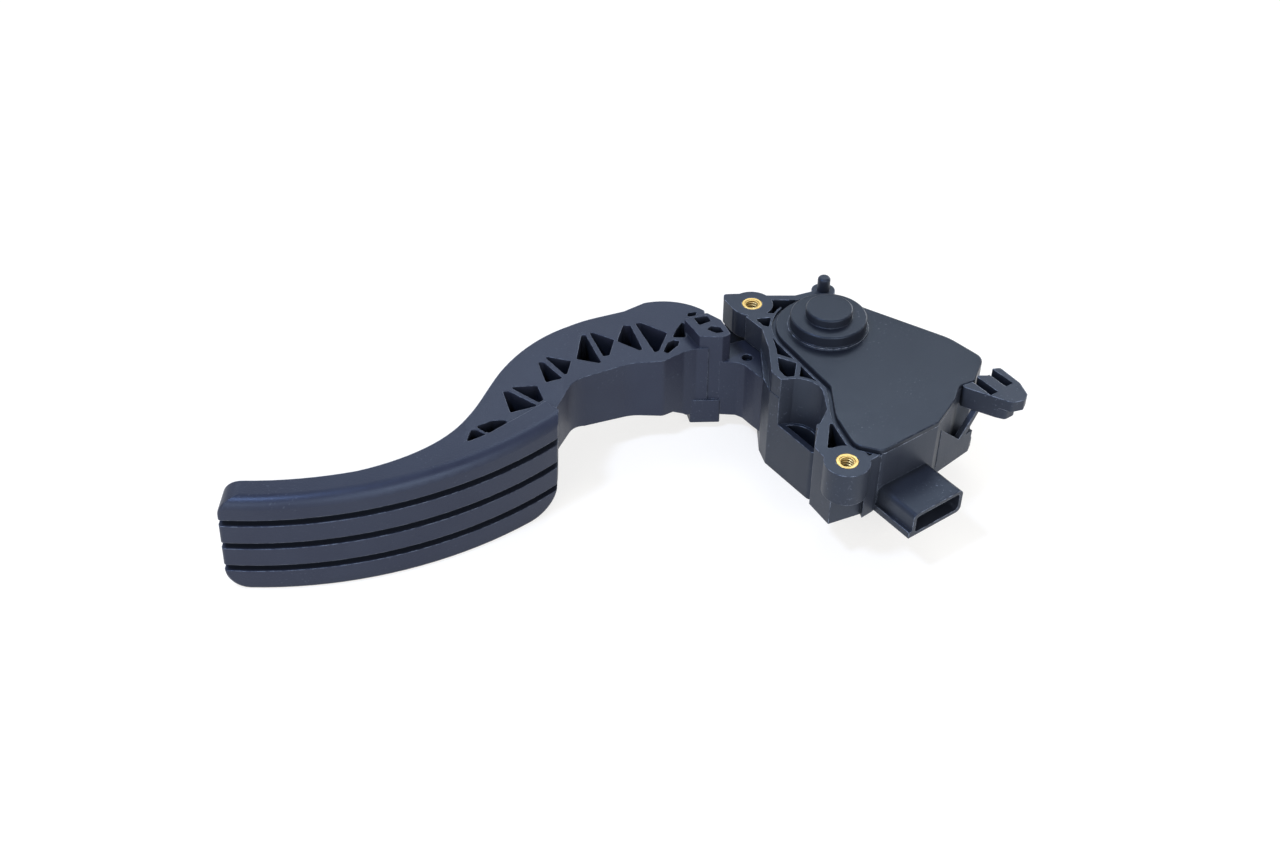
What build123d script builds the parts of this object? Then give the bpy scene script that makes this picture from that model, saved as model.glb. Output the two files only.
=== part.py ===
from build123d import *
from math import cos, radians, sin
import os

os.makedirs("parts", exist_ok=True)

# An electronic accelerator pedal, lying on its side, in millimetres.
# The pivot axis is Z, and the origin is where it meets the face that the pedal lies on.
# X runs from the foot pad towards the connector, and the driver's foot pushes the pad towards +Y.

# Levels of the housing
shelf_z = 20.0
deck_z = 37.5
sensor_floor_z = 40.0
cover_seat_z = 48.8
rim_z = 50.0
boss_bottom_z = 35.0
scoop_z = 26.0
scoop_well_z = 17.0
window_z = 40.0

# Walls and clearances of the housing
chamber_floor = 3.0
wall = 2.6
sensor_wall = 2.4
rim_width = 0.9
cover_gap = 1.7
rib_width = 2.0
scoop_rib = 1.4
lip_width = 1.2
underside_roof = 3.5
base_left = -28.3
base_right = 36.0
base_front = -54.0
skirt_z = 12.0
corner_rib = 1.6

# Pivot
shaft_radius = 5.0
press_gap = 0.02
running_gap = 0.05
bush_wall = 2.0
bush_boss_wall = 2.5
lower_bush_top = 11.0
upper_bush_top = 44.0
clip_thickness = 1.2
clip_depth = 1.2
clip_width = 2.4
clip_height_gap = 0.4
shaft_end_gap = 0.3
hub_radius = 12.5
drum_radius = 33.4
mouth_gap = 0.7
drum_from = 219.0
drum_sweep = 18.0
hub_bottom = 11.5
root_bottom = 7.5
ledge_z = 36.8
ledge_hole_place = (-34.0, -3.4)
ledge_hole = 2.4
ledge_hole_depth = 3.0

# Brass inserts and their bosses
insert_radius = 4.5
insert_bore = 2.5
insert_length = 12.0
insert_chamfer = 0.5
boss_radius = 9.1
rear_boss = (-31.3, 18.2)
front_boss = (-0.6, -86.1)

# Locating peg behind the dome
peg_radius = 2.8
peg_height = 7.0
peg_place = (0.8, 28.6)
peg_lug = 5.2

# Sensor cover
cover_plate = 2.2
cover_edge = 0.5
lobe_radius = 22.1
flange_radius = 17.3
flange_height = 0.8
disc_radius = 16.4
disc_height = 6.0
button_radius = 10.0
button_height = 4.0
disc_edge = 0.8
dome_wall = 2.4
seal_width = 1.2
seal_depth = 0.8
seal_inset = 0.6

# Connector
connector_place = (25.0, -73.0)
connector_angle = 35.4
connector_width = 26.5
connector_height = 11.4
connector_reach = 20.2
connector_depth = 16.5
connector_wall = 1.6
connector_corner = 2.4
rail_width = 1.8
rail_height = 3.0
rail_gap = 1.6
pin_count = 6
pin_pitch = 3.2
pin_width = 0.8
pin_reach = 7.0
carrier_height = 5.2
carrier_leg = 5.0
carrier_top = 43.0
leg_gap = 0.6

# Harness clip
clip_z = 41.0
clip_floor = 5.0
clip_gap = 0.5
clip_slot = 4.0
clip_slot_length = 17.0
clip_slot_angle = -55.0

# Flared wall under the clip, and the strut that runs up from it
flare_place = (42.0, -58.8)
flare_angle = 42.0
flare_floor = 4.0
flare_length = 19.6
flare_z = 31.0
flare_top = 43.5

# Pedal arm
arm_top = 44.0
arm_bottom = 13.5
arm_bottom_at_pad = 22.0
arm_step = -112.0
pocket_floor = 3.0
pocket_corner = 0.8
block_top = 50.0
block_bottom = 3.5
block_tab = 16.0
block_hole = 12.0
pad_height = 47.0
pad_thickness = 12.0
pad_radius = 164.0
pad_middle = -230.0
pad_face = -106.0
pad_left = -240.5
pad_sweep = 46.9
pad_left_lean = 3.7
pad_right_lean = 2.0
pad_right_trim = 3.0
pad_corner = 9.0
pad_tip_corner = 12.0
pad_edge = 1.5
pad_top_edge = 4.5
groove_width = 3.2
groove_depth = 3.5
groove_pitch = 12.0
groove_first = 11.5

# Springs and the pieces that they work on
lever_reach = 28.0
lever_front = -3.0
lever_back = 5.0
spring_x = 22.0
spring_z = 23.0
seat_thickness = 2.5
seat_width = 18.0
seat_corner = 3.0
seat_pin_gap = 0.5
spring_gap = 0.1
outer_coil = 8.2
outer_wire = 1.8
outer_turns = 6.0
inner_coil = 4.8
inner_wire = 1.4
inner_turns = 8.0
bumper_thickness = 4.0
bumper_width = 7.0
bumper_height = 16.0
bumper_gap = 0.3
shoe_radius = 20.0
shoe_thickness = 3.5
ring_wall = 2.5
ring_height = 9.0

# Sensor
rotor_radius = 11.0
rotor_bottom = 46.0
rotor_height = 4.8
magnet_inner = 7.5
magnet_outer = 10.0
magnet_height = 3.0
board_z = 45.4
board_thickness = 1.6
board_post = 2.5
chip_length = 4.0
chip_width = 5.0
chip_height = 1.5
chip_radius = 16.0
chip_angle = -14.0
chip_spread = 24.0

# Sizes worked out from the ones above
bush_radius = shaft_radius + running_gap + bush_wall
bush_boss_radius = bush_radius + bush_boss_wall
cover_top = cover_seat_z + cover_plate
bumper_back = lever_back + bumper_gap + bumper_thickness
spring_front = base_front + wall + spring_gap
spring_back = lever_front - seat_thickness - spring_gap
outer_length = spring_back - spring_front - outer_wire
inner_length = spring_back - spring_front - inner_wire
carrier_block = sensor_wall + leg_gap + carrier_leg
ring_radius = shoe_radius + running_gap + ring_wall
pad_centre = (pad_middle, pad_face + pad_radius)

# Posts of the circuit board
board_posts = ((28, -4), (46, -22), (32, -52), (8, -46))

# Pockets in the top of the arm, from the pad to the hub
arm_pockets = (
    ((-149, -71.6), (-147.6, -63.8), (-145.6, -63.4), (-140.9, -66.5)),
    ((-145.9, -61.6), (-139.4, -57), (-134.4, -56.4), (-132.9, -59), (-140.2, -65.9)),
    ((-136.9, -38), (-134.1, -38), (-121.9, -46), (-132.8, -51.6)),
    ((-134.4, -35), (-123, -33), (-119.9, -42.2), (-121.8, -44)),
    ((-123.6, -17), (-121.1, -17), (-112.6, -27), (-119.5, -30.6)),
    ((-121.5, -12.5), (-109.5, -15), (-111.2, -25.4)),
    ((-105.8, 3.4), (-104, 3.4), (-96.5, -17), (-107.4, -13.9)),
    ((-102.8, 6), (-91.5, -0.2), (-93.4, -11.2), (-96, -12)),
    ((-87.8, 10.3), (-84.6, 10.3), (-79.3, -7), (-80.6, -7.8), (-90.3, -1.2)),
    ((-82.6, 11.8), (-80.2, 12.4), (-68.6, 4.8), (-72.2, -7.9), (-74.1, -9.3)),
    ((-70.4, -8.4), (-68.5, -2.2), (-65.7, -0.1), (-63.3, -1), (-64, -4.2), (-68.5, -10)),
    ((-66.4, 1.5), (-64.8, 7), (-61.1, 14.5), (-60.4, 1.5)),
    ((-60, 16.6), (-59.2, 19.6), (-55, 20.8), (-56, 17.6)),
)


# A point of the pad, by its angle from the pad's middle and its depth under the face
def pad_point(angle, depth):
    reach = pad_radius - depth
    return (pad_centre[0] + reach * sin(radians(angle)), pad_centre[1] - reach * cos(radians(angle)))


# Plan of the sensor half and its cover: a round lobe over the pivot and a tapering plate
with BuildSketch() as cover_plan:
    Circle(lobe_radius)
    flank = (lobe_radius * cos(radians(208.6)), lobe_radius * sin(radians(208.6)))
    with BuildLine():
        FilletPolyline(
            (8, 20.1), (51, -8.1), (63, -22), (56.6, -37.2), (50, -40.6), (46.6, -49.6), (38, -63.8),
            (13.5, -81.2), (3, -77.5), (-2.5, -60), (-2.6, -41), flank,
            radius=(0, 25, 6, 1.5, 3, 3, 2, 5, 7, 20, 5, 0),
            close=True,
        )
    make_face()

# Plan of the seal's groove
with BuildSketch() as seal_plan:
    add(cover_plan.sketch)
    offset(amount=-seal_inset, mode=Mode.REPLACE)
    with BuildSketch(mode=Mode.SUBTRACT):
        add(cover_plan.sketch)
        offset(amount=-seal_inset - seal_width, mode=Mode.REPLACE)

# Plan of the spring chamber
with BuildSketch() as base_plan:
    with BuildLine():
        FilletPolyline(
            (base_left, -22), (-26.2, -30.5), (-9.5, base_front), (base_right, base_front),
            (base_right, 10), (24, 25), (base_left, 25),
            radius=(2, 2, 3, 5, 8, 8, 3),
            close=True,
        )
    make_face()

# Plan of the scoop cut out of the front left corner
with BuildSketch() as scoop_plan:
    with BuildLine():
        Line((-22.4, -35.5), (-17, -34.7))
        ThreePointArc((-17, -34.7), (-10.4, -36.7), (-6, -42.4))
        Polyline((-6, -42.4), (-5.3, -54.5), (-34, -54.5), (-34, -35.5), (-22.4, -35.5))
    make_face()

# Plan of the wall that carries the front boss
with BuildSketch() as front_plan:
    with BuildLine():
        Polyline((-5.3, -50), (-5.3, -54.5), (-10, -66), (-12.5, -78), (-6, -89.8), (13.5, -81.2))
        Line((13.5, -81.2), (13.5, -50))
        Line((13.5, -50), (-5.3, -50))
    make_face()

# Plan of the ribbed frame between the mouth and the cover
with BuildSketch() as frame_plan:
    with BuildLine():
        FilletPolyline(
            (-34.5, 8.5), (-28, -0.5), (-26, -15), (-26, -30.5), (-22.4, -35.5), (-5.3, -54.5),
            (0, -54.5), (0, 0), (-22, 18),
            radius=(0, 3, 6, 3, 0, 0, 0, 0, 0),
            close=True,
        )
    make_face()

# Plan of the arm's root, which closes the mouth of the spring chamber
with BuildSketch() as root_plan:
    with BuildLine():
        drum = CenterArc((0, 0), drum_radius, drum_from, drum_sweep)
        Polyline(drum @ 1, (0, 0), (-8, hub_radius), (-30, 11), (-46, 5), (-46, -6.3))
        FilletPolyline((-46, -6.3), (-38.2, -6.9), (-35.3, -8.8), (-31.3, -14.4), drum @ 0, radius=(2, 3, 3))
    make_face()

face_out = (sin(radians(connector_angle)), -cos(radians(connector_angle)), 0)
face_along = (cos(radians(connector_angle)), sin(radians(connector_angle)), 0)
connector_z = shelf_z + connector_height / 2
connector_plane = Plane(
    origin=(connector_place[0], connector_place[1], connector_z), x_dir=face_along, z_dir=face_out
)
shroud_back = connector_reach - connector_depth
flare_along = (cos(radians(flare_angle)), sin(radians(flare_angle)), 0)
flare_out = (sin(radians(flare_angle)), -cos(radians(flare_angle)), 0)
flare_plane = Plane(origin=(flare_place[0], flare_place[1], 0), x_dir=flare_along, z_dir=flare_out)
flare_end = (
    flare_place[0] + flare_length * flare_along[0],
    flare_place[1] + flare_length * flare_along[1],
)
carrier_width = pin_count * pin_pitch

# Housing
with BuildPart() as housing:
    # spring chamber
    with BuildSketch():
        add(base_plan.sketch)
    extrude(amount=sensor_floor_z)
    # sensor half
    with BuildSketch(Plane.XY.offset(shelf_z)):
        add(cover_plan.sketch)
    extrude(amount=cover_seat_z - shelf_z)
    # wall under the front boss with its corner rib and fin, and the boss
    with BuildSketch(Plane.XY.offset(shelf_z)):
        add(front_plan.sketch)
        with Locations((-9, -65.2)):
            Circle(corner_rib)
        with BuildLine():
            Polyline((13.5, -81), (12.2, -82.6), (7.6, -86.2), (7, -82), (13.5, -81))
        make_face()
    extrude(amount=rim_z - shelf_z)
    with BuildSketch(Plane.XY.offset(boss_bottom_z)):
        with Locations(front_boss):
            Circle(boss_radius)
    extrude(amount=rim_z - boss_bottom_z)
    # frame beside the cover, rear boss with its stop lug, bar behind it and lug under the peg
    with BuildSketch(Plane.XY.offset(deck_z)):
        add(frame_plan.sketch)
        with Locations(rear_boss):
            Circle(boss_radius)
        with BuildLine():
            FilletPolyline(
                (-43.4, 25.4), (-43.6, 22), (-39.4, 13.5), (-31, 12), (-31, 26),
                radius=(1.5, 1.5, 3, 0, 0),
                close=True,
            )
        make_face()
        with BuildLine():
            Polyline((-31, 21), (-12, 21), (-12, 24.4), (-31, 24.4), (-31, 21))
        make_face()
        with Locations(peg_place):
            Circle(peg_lug)
        with BuildLine():
            Polyline((-12, 18), (5, 20), (4, 31), (-12, 24.4), (-12, 18))
        make_face()
    extrude(amount=rim_z - deck_z)
    # skirt behind the root of the arm
    with BuildSketch(Plane.XY.offset(skirt_z)):
        with Locations((-42.5, 23.1)):
            Rectangle(18.5, sensor_wall, align=(Align.MIN, Align.MIN))
    extrude(amount=sensor_floor_z - skirt_z)
    # windows of the frame
    with BuildSketch(Plane.XY.offset(window_z)):
        with BuildLine():
            FilletPolyline(
                (-24.6, -1), (-22.9, -15), (-22.8, -29), (-20.8, -33), (-4, -46), (-2, -44),
                (-2, -10), (-18, -1),
                radius=(0, 4, 2, 1, 0, 0, 0, 0),
                close=True,
            )
        make_face()
        with BuildLine():
            FilletPolyline((-30.6, 7), (-23.6, 8), (-25, 0.8), (-27.6, 2.2), radius=pocket_corner, close=True)
        make_face()
        with BuildLine():
            Polyline((-25, 20.9), (-12, 20.9), (-12, 11), (-25, 11), (-25, 20.9))
        make_face()
        with Locations(rear_boss):
            Circle(boss_radius, mode=Mode.SUBTRACT)
        with BuildSketch(mode=Mode.SUBTRACT):
            add(scoop_plan.sketch)
            offset(amount=scoop_rib, mode=Mode.REPLACE)
        with BuildSketch(mode=Mode.SUBTRACT):
            add(cover_plan.sketch)
            offset(amount=cover_gap + rim_width, mode=Mode.REPLACE)
        with Locations(Location((-18.7, -21.4), -27), Location((-15, -28.9), 80)):
            Rectangle(14, rib_width, mode=Mode.SUBTRACT)
    extrude(amount=rim_z - window_z, mode=Mode.SUBTRACT)
    # pockets on both sides of the front boss
    with BuildSketch(Plane.XY.offset(window_z)):
        with BuildLine():
            FilletPolyline((-5, -62), (4, -77), (-7.6, -78.6), radius=pocket_corner, close=True)
        make_face()
        with BuildSketch(mode=Mode.SUBTRACT):
            add(cover_plan.sketch)
            offset(amount=cover_gap + rim_width, mode=Mode.REPLACE)
        with BuildLine():
            Polyline((3.2, -76.8), (6, -79), (11, -80.8), (8.6, -82.8), (3, -82.4), (3.2, -76.8))
        make_face()
        with Locations(front_boss):
            Circle(boss_radius, mode=Mode.SUBTRACT)
    extrude(amount=rim_z - window_z, mode=Mode.SUBTRACT)
    # recess round the cover
    with BuildSketch(Plane.XY.offset(cover_seat_z)):
        add(cover_plan.sketch)
        offset(amount=cover_gap, mode=Mode.REPLACE)
    extrude(amount=rim_z - cover_seat_z, mode=Mode.SUBTRACT)
    # scoop and the well inside its lip
    with BuildSketch(Plane.XY.offset(scoop_z)):
        add(scoop_plan.sketch)
    extrude(amount=rim_z - scoop_z, mode=Mode.SUBTRACT)
    with BuildSketch(Plane.XY.offset(scoop_well_z)):
        add(base_plan.sketch)
        offset(amount=-wall, mode=Mode.REPLACE)
        with BuildSketch(mode=Mode.INTERSECT):
            add(scoop_plan.sketch)
            offset(amount=-lip_width, mode=Mode.REPLACE)
    extrude(amount=scoop_z - scoop_well_z, mode=Mode.SUBTRACT)
    # spring chamber, kept clear of the scoop's wall
    with BuildSketch(Plane.XY.offset(chamber_floor)):
        add(base_plan.sketch)
        offset(amount=-wall, mode=Mode.REPLACE)
        with BuildSketch(mode=Mode.SUBTRACT):
            add(scoop_plan.sketch)
            offset(amount=wall, mode=Mode.REPLACE)
    extrude(amount=deck_z - chamber_floor, mode=Mode.SUBTRACT)
    # mouth that the drum turns in
    with BuildSketch(Plane.XY.offset(root_bottom - mouth_gap)):
        Circle(drum_radius + mouth_gap)
        with Locations((-31, -2)):
            Rectangle(18, 48, mode=Mode.INTERSECT)
    extrude(amount=deck_z - root_bottom + mouth_gap, mode=Mode.SUBTRACT)
    # pivot bosses, friction ring and the rib behind the bumper
    with BuildSketch(Plane.XY.offset(chamber_floor)):
        Circle(bush_boss_radius)
        Circle(ring_radius)
        Circle(shoe_radius + running_gap, mode=Mode.SUBTRACT)
        Circle(bush_boss_radius)
    extrude(amount=ring_height - chamber_floor)
    with BuildSketch(Plane.XY.offset(chamber_floor)):
        Circle(bush_boss_radius)
    extrude(amount=lower_bush_top - chamber_floor)
    with BuildSketch(Plane.XY.offset(chamber_floor)):
        with Locations((spring_x, bumper_back)):
            Rectangle(base_right - wall / 2 - spring_x, wall, align=(Align.MIN, Align.MIN))
    extrude(amount=deck_z - chamber_floor)
    # sensor chamber with the posts of the board
    with BuildSketch(Plane.XY.offset(sensor_floor_z)):
        add(cover_plan.sketch)
        offset(amount=-sensor_wall, mode=Mode.REPLACE)
    extrude(amount=cover_seat_z - sensor_floor_z, mode=Mode.SUBTRACT)
    with BuildSketch(Plane.XY.offset(sensor_floor_z)):
        Circle(bush_boss_radius)
    extrude(amount=upper_bush_top - sensor_floor_z)
    with BuildSketch(Plane.XY.offset(sensor_floor_z)):
        with Locations(*board_posts):
            Circle(board_post)
    extrude(amount=board_z - sensor_floor_z)
    # groove of the seal
    with BuildSketch(Plane.XY.offset(cover_seat_z - seal_depth)):
        add(seal_plan.sketch)
    extrude(amount=seal_depth, mode=Mode.SUBTRACT)
    # bore of the bushes
    with BuildSketch(Plane.XY.offset(chamber_floor)):
        Circle(bush_radius + press_gap)
    extrude(amount=upper_bush_top - chamber_floor, mode=Mode.SUBTRACT)
    # hollow underside of the sensor half
    with BuildSketch(Plane.XY.offset(shelf_z)):
        add(cover_plan.sketch)
        add(front_plan.sketch)
        offset(amount=-sensor_wall, mode=Mode.REPLACE)
        with BuildSketch(mode=Mode.SUBTRACT):
            add(base_plan.sketch)
        with Locations(front_boss):
            Circle(boss_radius, mode=Mode.SUBTRACT)
        with Locations(Location(connector_place, connector_angle)):
            Rectangle(carrier_width + 2 * wall, 2 * carrier_block, mode=Mode.SUBTRACT)
        with Locations(Location((45, -30), 20), Location((22, -60), 100)):
            Rectangle(60, rib_width, mode=Mode.SUBTRACT)
    extrude(amount=sensor_floor_z - underside_roof - shelf_z, mode=Mode.SUBTRACT)
    # connector shroud with its rails, and the cavity for the plug
    with BuildSketch(connector_plane.offset(-sensor_wall)):
        RectangleRounded(connector_width, connector_height, connector_corner)
        with Locations((-connector_width / 2 - rail_gap, -connector_height / 2)):
            Rectangle(2 * rail_gap + connector_corner, rail_width, align=(Align.MIN, Align.MIN))
            Rectangle(rail_width, rail_height, align=(Align.MIN, Align.MIN))
    extrude(amount=connector_reach + sensor_wall)
    with BuildSketch(connector_plane.offset(shroud_back)):
        RectangleRounded(
            connector_width - 2 * connector_wall,
            connector_height - 2 * connector_wall,
            connector_corner - connector_wall / 2,
        )
    extrude(amount=connector_depth, mode=Mode.SUBTRACT)
    # seat of the terminal carrier
    with BuildSketch(connector_plane.offset(-carrier_block)):
        Rectangle(carrier_width + 2 * press_gap, carrier_height + 2 * press_gap)
    extrude(amount=carrier_block + shroud_back, mode=Mode.SUBTRACT)
    with BuildSketch(connector_plane.offset(-carrier_block)):
        with Locations((0, -carrier_height / 2 - press_gap)):
            Rectangle(
                carrier_width + 2 * press_gap,
                sensor_floor_z - connector_z + carrier_height / 2 + press_gap,
                align=(Align.CENTER, Align.MIN),
            )
    extrude(amount=carrier_leg, mode=Mode.SUBTRACT)
    # harness clip: a floor, and a top with two slots that are open at the back
    with BuildSketch(Plane.XY.offset(clip_z)):
        with BuildLine():
            FilletPolyline(
                (50.6, -41.2), (64.4, -49), (68, -50.4), (72, -47.6), (74, -40), (68.6, -28.9),
                (64.8, -29.6), (62.8, -34), (56, -34),
                radius=(1.5, 1, 2, 2, 2, 1.5, 1, 1, 0),
                close=True,
            )
        make_face()
        with BuildSketch(mode=Mode.SUBTRACT):
            add(cover_plan.sketch)
            offset(amount=-sensor_wall / 2, mode=Mode.REPLACE)
    extrude(amount=clip_floor)
    with BuildSketch(Plane.XY.offset(clip_z + clip_floor)):
        with BuildLine():
            FilletPolyline(
                (50.6, -41.2), (64.4, -49), (69.4, -51.8), (74.6, -50.2), (76.4, -46.5), (74.8, -39),
                (68.6, -28.9), (64.8, -29.6), (62.8, -34), (56, -34),
                radius=(1.5, 1, 1.5, 1.5, 1.5, 4, 1.5, 1, 1, 0),
                close=True,
            )
        make_face()
        with Locations(Location((58.3, -38.8), clip_slot_angle), Location((65.4, -33.2), clip_slot_angle)):
            Rectangle(clip_slot_length, clip_slot, mode=Mode.SUBTRACT)
        with BuildSketch(mode=Mode.SUBTRACT):
            add(cover_plan.sketch)
            offset(amount=clip_gap, mode=Mode.REPLACE)
    extrude(amount=cover_top - clip_z - clip_floor)
    # flared wall under the clip, with its floor and strut
    with BuildSketch(Plane.XY.offset(shelf_z)):
        with BuildLine():
            Polyline(
                (40, -60.6), flare_place, flare_end, (58.2, -42), (59, -33), (46, -44), (40, -60.6)
            )
        make_face()
    extrude(amount=flare_floor)
    with BuildSketch(flare_plane):
        with BuildLine():
            Polyline(
                (-2, shelf_z), (flare_length, shelf_z), (flare_length + 0.7, flare_z), (15.5, flare_z),
                (24, clip_z + 0.5), (21.2, clip_z + 0.5), (11.5, flare_z), (-2, flare_top), (-2, shelf_z),
            )
        make_face()
    extrude(amount=-sensor_wall)
    # peg
    with BuildSketch(Plane.XY.offset(rim_z)):
        with Locations(peg_place):
            Circle(peg_radius)
    extrude(amount=peg_height)
    fillet(housing.faces().sort_by(Axis.Z)[-1].edges(), peg_radius / 2)
    # holes of the inserts
    with BuildSketch(Plane.XY.offset(deck_z)):
        with Locations(rear_boss, front_boss):
            Circle(insert_radius + press_gap)
    extrude(amount=rim_z - deck_z, mode=Mode.SUBTRACT)

# Sensor cover
with BuildPart() as sensor_cover:
    with BuildSketch(Plane.XY.offset(cover_seat_z)):
        add(cover_plan.sketch)
    extrude(amount=cover_plate)
    fillet(sensor_cover.faces().sort_by(Axis.Z)[-1].edges(), cover_edge)
    with BuildSketch(Plane.XY.offset(cover_top)):
        Circle(flange_radius)
    extrude(amount=flange_height)
    with BuildSketch(Plane.XY.offset(cover_top)):
        Circle(disc_radius)
    extrude(amount=disc_height)
    fillet(sensor_cover.faces().sort_by(Axis.Z)[-1].edges(), disc_edge)
    with BuildSketch(Plane.XY.offset(cover_top + disc_height)):
        Circle(button_radius)
    extrude(amount=button_height)
    fillet(sensor_cover.faces().sort_by(Axis.Z)[-1].edges(), disc_edge)
    with BuildSketch(Plane.XY.offset(cover_seat_z)):
        Circle(disc_radius - dome_wall)
    extrude(amount=cover_plate + disc_height - dome_wall, mode=Mode.SUBTRACT)
    with BuildSketch(Plane.XY.offset(cover_seat_z)):
        Circle(button_radius - dome_wall)
    extrude(amount=cover_plate + disc_height + button_height - dome_wall, mode=Mode.SUBTRACT)

# Seal under the cover
with BuildPart() as cover_seal:
    with BuildSketch(Plane.XY.offset(cover_seat_z - seal_depth)):
        add(seal_plan.sketch)
    extrude(amount=seal_depth)

# Brass inserts
with BuildPart() as threaded_inserts:
    with BuildSketch(Plane.XY.offset(rim_z - insert_length)):
        with Locations(rear_boss, front_boss):
            Circle(insert_radius)
            Circle(insert_bore, mode=Mode.SUBTRACT)
    extrude(amount=insert_length)
    chamfer(
        threaded_inserts.faces().group_by(Axis.Z)[-1].edges().filter_by(
            lambda edge: edge.radius < insert_radius - bush_wall / 2
        ),
        insert_chamfer,
    )

# Bushes
with BuildPart() as lower_bush:
    with BuildSketch(Plane.XY.offset(chamber_floor)):
        Circle(bush_radius)
        Circle(shaft_radius + running_gap, mode=Mode.SUBTRACT)
    extrude(amount=lower_bush_top - chamber_floor)

with BuildPart() as upper_bush:
    with BuildSketch(Plane.XY.offset(deck_z)):
        Circle(bush_radius)
        Circle(shaft_radius + running_gap, mode=Mode.SUBTRACT)
    extrude(amount=upper_bush_top - deck_z)

# Pivot shaft with a groove for its clip
clip_bottom = upper_bush_top + clip_height_gap
with BuildPart() as pivot_shaft:
    with BuildSketch(Plane.XY.offset(chamber_floor + shaft_end_gap)):
        Circle(shaft_radius)
    extrude(amount=rotor_bottom + rotor_height - chamber_floor - shaft_end_gap)
    with BuildSketch(Plane.XY.offset(clip_bottom)):
        Circle(shaft_radius)
        Circle(shaft_radius - clip_depth, mode=Mode.SUBTRACT)
    extrude(amount=clip_thickness, mode=Mode.SUBTRACT)

with BuildPart() as shaft_clip:
    with BuildSketch(Plane.XY.offset(clip_bottom)):
        Circle(shaft_radius - clip_depth + clip_width)
        Circle(shaft_radius - clip_depth, mode=Mode.SUBTRACT)
        with Locations((0, -shaft_radius)):
            Rectangle(shaft_radius, 2 * shaft_radius, mode=Mode.SUBTRACT)
    extrude(amount=clip_thickness)

# Magnet and the rotor that carries it
with BuildPart() as magnet_rotor:
    with BuildSketch(Plane.XY.offset(rotor_bottom)):
        Circle(rotor_radius)
        Circle(shaft_radius + press_gap, mode=Mode.SUBTRACT)
    extrude(amount=rotor_height)
    with BuildSketch(Plane.XY.offset(rotor_bottom + rotor_height - magnet_height)):
        Circle(magnet_outer + press_gap)
        Circle(magnet_inner - press_gap, mode=Mode.SUBTRACT)
    extrude(amount=magnet_height, mode=Mode.SUBTRACT)

with BuildPart() as ring_magnet:
    with BuildSketch(Plane.XY.offset(rotor_bottom + rotor_height - magnet_height)):
        Circle(magnet_outer)
        Circle(magnet_inner, mode=Mode.SUBTRACT)
    extrude(amount=magnet_height)

# Circuit board and its two sensors
with BuildPart() as sensor_board:
    with BuildSketch(Plane.XY.offset(board_z)):
        with BuildLine():
            FilletPolyline(
                (14, 6), (30, 2), (50, -16), (53, -26), (40, -48), (32.1, -64.2), (14.2, -77),
                (6, -70), (3, -40), (6, -20), (13, -8),
                radius=2,
                close=True,
            )
        make_face()
    extrude(amount=board_thickness)

with BuildPart() as hall_chips:
    with BuildSketch(Plane.XY.offset(board_z + board_thickness)):
        with PolarLocations(chip_radius, 2, chip_angle, chip_spread, endpoint=True):
            Rectangle(chip_length, chip_width)
    extrude(amount=chip_height)

# Terminal carrier and the six contacts moulded into it
with BuildPart() as terminal_pins:
    with BuildSketch(connector_plane.offset(-carrier_block + carrier_leg / 2)):
        with GridLocations(pin_pitch, 0, pin_count, 1):
            Rectangle(pin_width, pin_width)
    extrude(amount=carrier_block - carrier_leg / 2 + shroud_back + pin_reach)
    with BuildSketch(connector_plane.offset(-carrier_block + carrier_leg / 2)):
        with GridLocations(pin_pitch, 0, pin_count, 1):
            Rectangle(pin_width, board_z - connector_z, align=(Align.CENTER, Align.MIN))
    extrude(amount=pin_width)

with BuildPart() as terminal_carrier:
    with BuildSketch(connector_plane.offset(-carrier_block)):
        Rectangle(carrier_width, carrier_height)
    extrude(amount=carrier_block + shroud_back)
    with BuildSketch(connector_plane.offset(-carrier_block)):
        with Locations((0, -carrier_height / 2)):
            Rectangle(
                carrier_width,
                carrier_top - connector_z + carrier_height / 2,
                align=(Align.CENTER, Align.MIN),
            )
    extrude(amount=carrier_leg)
    add(terminal_pins.part, mode=Mode.SUBTRACT)

# Return springs
with BuildPart() as outer_return_spring:
    with BuildLine() as outer_path:
        Helix(
            pitch=outer_length / outer_turns,
            height=outer_length,
            radius=outer_coil,
            center=(spring_x, spring_front + outer_wire / 2, spring_z),
            direction=(0, 1, 0),
        )
    with BuildSketch(Plane(origin=outer_path.line @ 0, z_dir=outer_path.line % 0)):
        Circle(outer_wire / 2)
    sweep(is_frenet=True)

with BuildPart() as inner_return_spring:
    with BuildLine() as inner_path:
        Helix(
            pitch=inner_length / inner_turns,
            height=inner_length,
            radius=inner_coil,
            center=(spring_x, spring_front + inner_wire / 2, spring_z),
            direction=(0, 1, 0),
        )
    with BuildSketch(Plane(origin=inner_path.line @ 0, z_dir=inner_path.line % 0)):
        Circle(inner_wire / 2)
    sweep(is_frenet=True)

# Saddle between the springs and the lever
with BuildPart() as spring_seat:
    with BuildSketch(Plane((spring_x, lever_front, spring_z), x_dir=(1, 0, 0), z_dir=(0, -1, 0))):
        RectangleRounded(seat_width, seat_width, seat_corner)
    extrude(amount=seat_thickness)
    with BuildSketch(
        Plane((spring_x, lever_front - seat_thickness, spring_z), x_dir=(1, 0, 0), z_dir=(0, -1, 0))
    ):
        Circle(inner_coil - inner_wire / 2 - seat_pin_gap)
    extrude(amount=seat_thickness)

# Bumper behind the lever
with BuildPart() as idle_bumper:
    with BuildSketch(Plane.XY.offset(spring_z - bumper_height / 2)):
        with Locations((spring_x, bumper_back - bumper_thickness)):
            Rectangle(bumper_width, bumper_thickness, align=(Align.MIN, Align.MIN))
    extrude(amount=bumper_height)

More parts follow.
